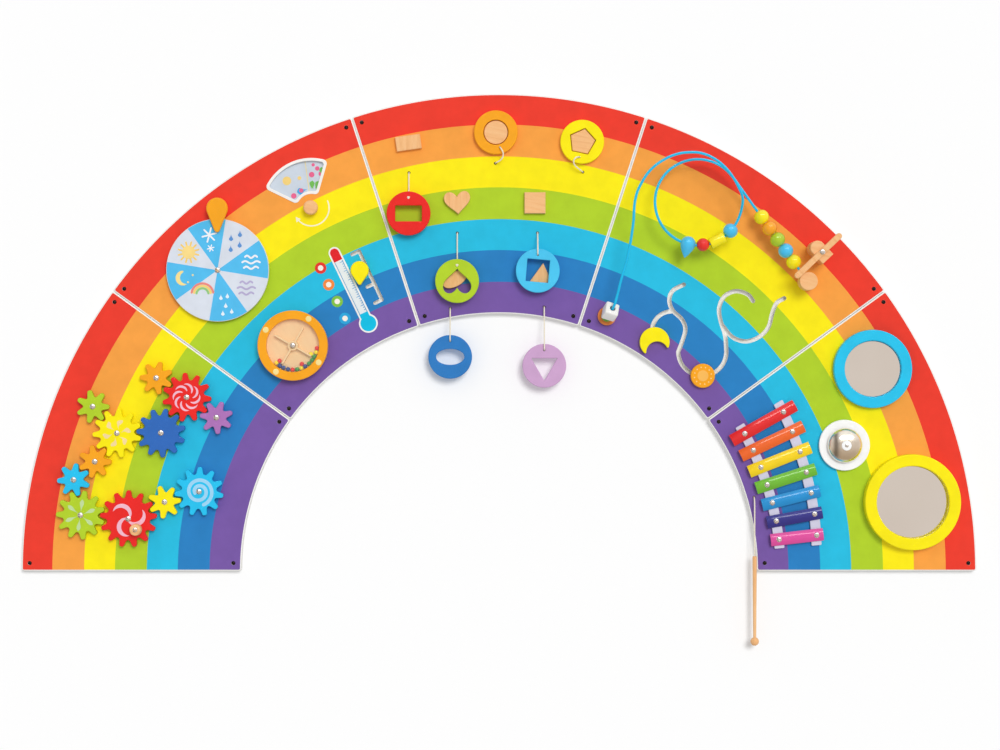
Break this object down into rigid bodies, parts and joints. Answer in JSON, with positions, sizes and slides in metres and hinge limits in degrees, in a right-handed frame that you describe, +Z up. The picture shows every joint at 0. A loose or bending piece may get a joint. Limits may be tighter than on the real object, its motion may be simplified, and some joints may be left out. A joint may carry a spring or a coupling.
{
  "type": "manipulative board",
  "caption": "Half-ring wall activity arch of printed boards with meshing gears, turning dials, sliders, hanging shape rings, a bead wire, a small xylophone, a bell and mirrors.",
  "frame": {"origin": "on the wall side of the middle board, at its middle width and half the arch's length", "axes": "+X along the arch's width to the right, +Y into the wall, +Z up; the boards face -Y"},
  "size_m": [1.75, 0.0903, 1.0101],
  "materials": {
    "printed_board": "printed and lacquered",
    "red_paint": "satin paint",
    "orange_paint": "satin paint",
    "yellow_paint": "satin paint",
    "lime_paint": "satin paint",
    "sky_paint": "satin paint",
    "blue_paint": "satin paint",
    "purple_paint": "satin paint",
    "white_paint": "satin paint",
    "natural_beech": "clear lacquer",
    "cotton_string": "twisted",
    "coated_wire": "smooth coating",
    "bar_metal": "gloss paint",
    "bell_plate_white": "gloss",
    "bell_nickel": "polished"
  },
  "bodies": {
    "boards": {"panel_gears": "printed_board", "panel_weather": "printed_board", "panel_shapes": "printed_board", "panel_beads": "printed_board", "panel_music": "printed_board", "bead_wire": "coated_wire", "weather_pointer": "orange_paint", "propeller_block": "natural_beech", "xylophone": "bar_metal", "bell_plate": "bell_plate_white", "bell_dome": "bell_nickel", "mirror_small": "blue_paint", "mirror_large": "yellow_paint"},
    "gear_crank": {"gear_crank": "red_paint"},
    "gear_lime_large": {"gear_lime_large": "lime_paint"},
    "gear_yellow_small": {"gear_yellow_small": "yellow_paint"},
    "gear_sky_large": {"gear_sky_large": "sky_paint"},
    "gear_sky_small": {"gear_sky_small": "sky_paint"},
    "gear_orange_low": {"gear_orange_low": "orange_paint"},
    "gear_yellow_large": {"gear_yellow_large": "yellow_paint"},
    "gear_lime_small": {"gear_lime_small": "lime_paint"},
    "gear_blue_large": {"gear_blue_large": "blue_paint"},
    "gear_red_large": {"gear_red_large": "red_paint"},
    "gear_orange_high": {"gear_orange_high": "orange_paint"},
    "gear_purple_small": {"gear_purple_small": "purple_paint"},
    "crank_knob": {"crank_knob": "natural_beech"},
    "weather_wheel": {"weather_wheel": "sky_paint"},
    "season_dial": {"season_disc": "sky_paint", "season_knob": "natural_beech"},
    "thermometer_slider": {"thermometer_slider": "yellow_paint"},
    "spinner_drum": {"spinner_drum": "orange_paint"},
    "string_red": {"string_red": "cotton_string"},
    "ring_red": {"ring_red": "red_paint"},
    "string_lime": {"string_lime": "cotton_string"},
    "ring_lime": {"ring_lime": "lime_paint"},
    "string_sky": {"string_sky": "cotton_string"},
    "ring_sky": {"ring_sky": "sky_paint"},
    "string_blue": {"string_blue": "cotton_string"},
    "ring_blue": {"ring_blue": "blue_paint"},
    "string_purple": {"string_purple": "cotton_string"},
    "ring_purple": {"ring_purple": "purple_paint"},
    "ring_orange": {"ring_orange": "orange_paint", "string_orange": "cotton_string"},
    "ring_yellow": {"ring_yellow": "yellow_paint", "string_yellow": "cotton_string"},
    "wire_cube": {"wire_cube": "white_paint"},
    "row_bead_1": {"row_bead_1": "yellow_paint"},
    "row_bead_2": {"row_bead_2": "blue_paint"},
    "row_bead_3": {"row_bead_3": "lime_paint"},
    "row_bead_4": {"row_bead_4": "orange_paint"},
    "row_bead_5": {"row_bead_5": "yellow_paint"},
    "loop_ball_blue": {"loop_ball_blue": "blue_paint"},
    "loop_cylinder": {"loop_cylinder": "yellow_paint"},
    "loop_ball_red": {"loop_ball_red": "red_paint"},
    "loop_drop": {"loop_drop": "blue_paint"},
    "propeller": {"propeller": "natural_beech"},
    "moon_slider": {"moon_slider": "yellow_paint"},
    "sun_slider": {"sun_slider": "orange_paint"},
    "mallet_string": {"mallet_string": "cotton_string"},
    "mallet": {"mallet": "natural_beech"}
  },
  "joints": [
    {"name": "crank_turn", "type": "hinge", "parent": "boards", "child": "gear_crank", "pos_m": [-0.67687, -0.025, -0.57656], "axis": [0, -1, 0], "continuous": true},
    {"name": "lime_large_turn", "type": "hinge", "parent": "boards", "child": "gear_lime_large", "pos_m": [-0.76421, -0.025, -0.56984], "axis": [0, -1, 0], "continuous": true},
    {"name": "yellow_small_turn", "type": "hinge", "parent": "boards", "child": "gear_yellow_small", "pos_m": [-0.61066, -0.025, -0.54583], "axis": [0, -1, 0], "continuous": true},
    {"name": "sky_large_turn", "type": "hinge", "parent": "boards", "child": "gear_sky_large", "pos_m": [-0.54779, -0.025, -0.52673], "axis": [0, -1, 0], "continuous": true},
    {"name": "sky_small_turn", "type": "hinge", "parent": "boards", "child": "gear_sky_small", "pos_m": [-0.77675, -0.025, -0.50535], "axis": [0, -1, 0], "continuous": true},
    {"name": "orange_low_turn", "type": "hinge", "parent": "boards", "child": "gear_orange_low", "pos_m": [-0.73795, -0.025, -0.4721], "axis": [0, -1, 0], "continuous": true},
    {"name": "yellow_large_turn", "type": "hinge", "parent": "boards", "child": "gear_yellow_large", "pos_m": [-0.69759, -0.025, -0.42025], "axis": [0, -1, 0], "continuous": true},
    {"name": "lime_small_turn", "type": "hinge", "parent": "boards", "child": "gear_lime_small", "pos_m": [-0.74181, -0.025, -0.37166], "axis": [0, -1, 0], "continuous": true},
    {"name": "blue_large_turn", "type": "hinge", "parent": "boards", "child": "gear_blue_large", "pos_m": [-0.61729, -0.025, -0.41969], "axis": [0, -1, 0], "continuous": true},
    {"name": "red_large_turn", "type": "hinge", "parent": "boards", "child": "gear_red_large", "pos_m": [-0.57032, -0.025, -0.35456], "axis": [0, -1, 0], "continuous": true},
    {"name": "orange_high_turn", "type": "hinge", "parent": "boards", "child": "gear_orange_high", "pos_m": [-0.62585, -0.025, -0.31946], "axis": [0, -1, 0], "continuous": true},
    {"name": "purple_small_turn", "type": "hinge", "parent": "boards", "child": "gear_purple_small", "pos_m": [-0.51611, -0.025, -0.39168], "axis": [0, -1, 0], "continuous": true},
    {"name": "crank_knob_turn", "type": "hinge", "parent": "gear_crank", "child": "crank_knob", "pos_m": [-0.66054, -0.04, -0.59509], "axis": [0, -1, 0], "continuous": true},
    {"name": "weather_wheel_turn", "type": "hinge", "parent": "boards", "child": "weather_wheel", "pos_m": [-0.51398, -0.0245, -0.12252], "axis": [0, -1, 0], "continuous": true},
    {"name": "season_turn", "type": "hinge", "parent": "boards", "child": "season_dial", "pos_m": [-0.34381, -0.01, -0.00823], "axis": [0, -1, 0], "continuous": true},
    {"name": "thermometer_slide", "type": "slide", "parent": "boards", "child": "thermometer_slider", "axis": [-0.4258, 0, 0.9048], "range_m": [-0.062, 0.03]},
    {"name": "spinner_turn", "type": "hinge", "parent": "boards", "child": "spinner_drum", "pos_m": [-0.3759, -0.03, -0.26024], "axis": [0, -1, 0], "continuous": true},
    {"name": "red_string_swing", "type": "hinge", "parent": "boards", "child": "string_red", "pos_m": [-0.16493, -0.015, 0.05656], "axis": [0, -1, 0], "range_deg": [-15, 15]},
    {"name": "red_ring_swing", "type": "hinge", "parent": "string_red", "child": "ring_red", "pos_m": [-0.16493, -0.0322, 0.00936], "axis": [0, -1, 0], "range_deg": [-15, 15]},
    {"name": "lime_string_swing", "type": "hinge", "parent": "boards", "child": "string_lime", "pos_m": [-0.07641, -0.015, -0.05386], "axis": [0, -1, 0], "range_deg": [-15, 15]},
    {"name": "lime_ring_swing", "type": "hinge", "parent": "string_lime", "child": "ring_lime", "pos_m": [-0.07641, -0.0322, -0.11386], "axis": [0, -1, 0], "range_deg": [-15, 15]},
    {"name": "sky_string_swing", "type": "hinge", "parent": "boards", "child": "string_sky", "pos_m": [0.07063, -0.015, -0.05358], "axis": [0, -1, 0], "range_deg": [-15, 15]},
    {"name": "sky_ring_swing", "type": "hinge", "parent": "string_sky", "child": "ring_sky", "pos_m": [0.07063, -0.0322, -0.09508], "axis": [0, -1, 0], "range_deg": [-15, 15]},
    {"name": "blue_string_swing", "type": "hinge", "parent": "boards", "child": "string_blue", "pos_m": [-0.08928, -0.015, -0.19177], "axis": [0, -1, 0], "range_deg": [-20, 20]},
    {"name": "blue_ring_swing", "type": "hinge", "parent": "string_blue", "child": "ring_blue", "pos_m": [-0.08928, -0.022, -0.25207], "axis": [0, -1, 0], "range_deg": [-15, 15]},
    {"name": "purple_string_swing", "type": "hinge", "parent": "boards", "child": "string_purple", "pos_m": [0.08275, -0.015, -0.18938], "axis": [0, -1, 0], "range_deg": [-20, 20]},
    {"name": "purple_ring_swing", "type": "hinge", "parent": "string_purple", "child": "ring_purple", "pos_m": [0.08275, -0.022, -0.26838], "axis": [0, -1, 0], "range_deg": [-15, 15]},
    {"name": "orange_ring_lift", "type": "slide", "parent": "boards", "child": "ring_orange", "axis": [0, -1, 0], "range_m": [0, 0.013]},
    {"name": "yellow_ring_lift", "type": "slide", "parent": "boards", "child": "ring_yellow", "axis": [0, -1, 0], "range_m": [0, 0.013]},
    {"name": "cube_slide", "type": "slide", "parent": "boards", "child": "wire_cube", "axis": [0.2966, -0.8387, 0.4568], "range_m": [0, 0.004]},
    {"name": "bead_row_slide", "type": "slide", "parent": "boards", "child": "row_bead_1", "axis": [-0.584, 0, 0.8117], "range_m": [-0.013, 0.045]},
    {"name": "bead_2_slide", "type": "slide", "parent": "boards", "child": "row_bead_2", "axis": [-0.584, 0, 0.8117], "range_m": [-0.013, 0.045]},
    {"name": "bead_3_slide", "type": "slide", "parent": "boards", "child": "row_bead_3", "axis": [-0.584, 0, 0.8117], "range_m": [-0.013, 0.045]},
    {"name": "bead_4_slide", "type": "slide", "parent": "boards", "child": "row_bead_4", "axis": [-0.584, 0, 0.8117], "range_m": [-0.013, 0.045]},
    {"name": "bead_5_slide", "type": "slide", "parent": "boards", "child": "row_bead_5", "axis": [-0.584, 0, 0.8117], "range_m": [-0.013, 0.045]},
    {"name": "loop_drop_slide", "type": "hinge", "parent": "boards", "child": "loop_drop", "pos_m": [0.36116, -0.061, -0.00051], "axis": [0, -1, 0], "range_deg": [-30, 6]},
    {"name": "loop_ball_blue_slide", "type": "hinge", "parent": "boards", "child": "loop_ball_blue", "pos_m": [0.36116, -0.061, -0.00051], "axis": [0, -1, 0], "range_deg": [-30, 6]},
    {"name": "loop_cylinder_slide", "type": "hinge", "parent": "boards", "child": "loop_cylinder", "pos_m": [0.36116, -0.061, -0.00051], "axis": [0, -1, 0], "range_deg": [-30, 6]},
    {"name": "loop_ball_red_slide", "type": "hinge", "parent": "boards", "child": "loop_ball_red", "pos_m": [0.36116, -0.061, -0.00051], "axis": [0, -1, 0], "range_deg": [-30, 6]},
    {"name": "propeller_turn", "type": "hinge", "parent": "boards", "child": "propeller", "pos_m": [0.58383, -0.071, -0.09171], "axis": [0, -1, 0], "continuous": true},
    {"name": "moon_slide", "type": "hinge", "parent": "boards", "child": "moon_slider", "pos_m": [0.31645, -0.015, -0.23329], "axis": [0, -1, 0], "range_deg": [-90, 0]},
    {"name": "sun_slide", "type": "hinge", "parent": "boards", "child": "sun_slider", "pos_m": [0.37245, -0.015, -0.27129], "axis": [0, -1, 0], "range_deg": [-60, 75]},
    {"name": "mallet_string_swing", "type": "hinge", "parent": "boards", "child": "mallet_string", "pos_m": [0.46719, -0.015, -0.53777], "axis": [0, -1, 0], "range_deg": [-15, 15]},
    {"name": "mallet_swing", "type": "hinge", "parent": "mallet_string", "child": "mallet", "pos_m": [0.46719, -0.025, -0.64477], "axis": [0, -1, 0], "range_deg": [-15, 15]}
  ],
  "couplings": [
    {"joint": "lime_large_turn", "follows": "crank_turn", "ratio": -1.1818},
    {"joint": "yellow_small_turn", "follows": "crank_turn", "ratio": -1.8571},
    {"joint": "sky_large_turn", "follows": "crank_turn", "ratio": 1.1818},
    {"joint": "sky_small_turn", "follows": "crank_turn", "ratio": 1.8571},
    {"joint": "orange_low_turn", "follows": "crank_turn", "ratio": -1.8571},
    {"joint": "yellow_large_turn", "follows": "crank_turn", "ratio": 1.1818},
    {"joint": "lime_small_turn", "follows": "crank_turn", "ratio": -1.8571},
    {"joint": "blue_large_turn", "follows": "crank_turn", "ratio": -1.1818},
    {"joint": "red_large_turn", "follows": "crank_turn", "ratio": 1.1818},
    {"joint": "orange_high_turn", "follows": "crank_turn", "ratio": -1.8571},
    {"joint": "purple_small_turn", "follows": "crank_turn", "ratio": -1.8571},
    {"joint": "bead_2_slide", "follows": "bead_row_slide", "ratio": 1},
    {"joint": "bead_3_slide", "follows": "bead_row_slide", "ratio": 1},
    {"joint": "bead_4_slide", "follows": "bead_row_slide", "ratio": 1},
    {"joint": "bead_5_slide", "follows": "bead_row_slide", "ratio": 1},
    {"joint": "loop_ball_blue_slide", "follows": "loop_drop_slide", "ratio": 1},
    {"joint": "loop_cylinder_slide", "follows": "loop_drop_slide", "ratio": 1},
    {"joint": "loop_ball_red_slide", "follows": "loop_drop_slide", "ratio": 1}
  ]
}
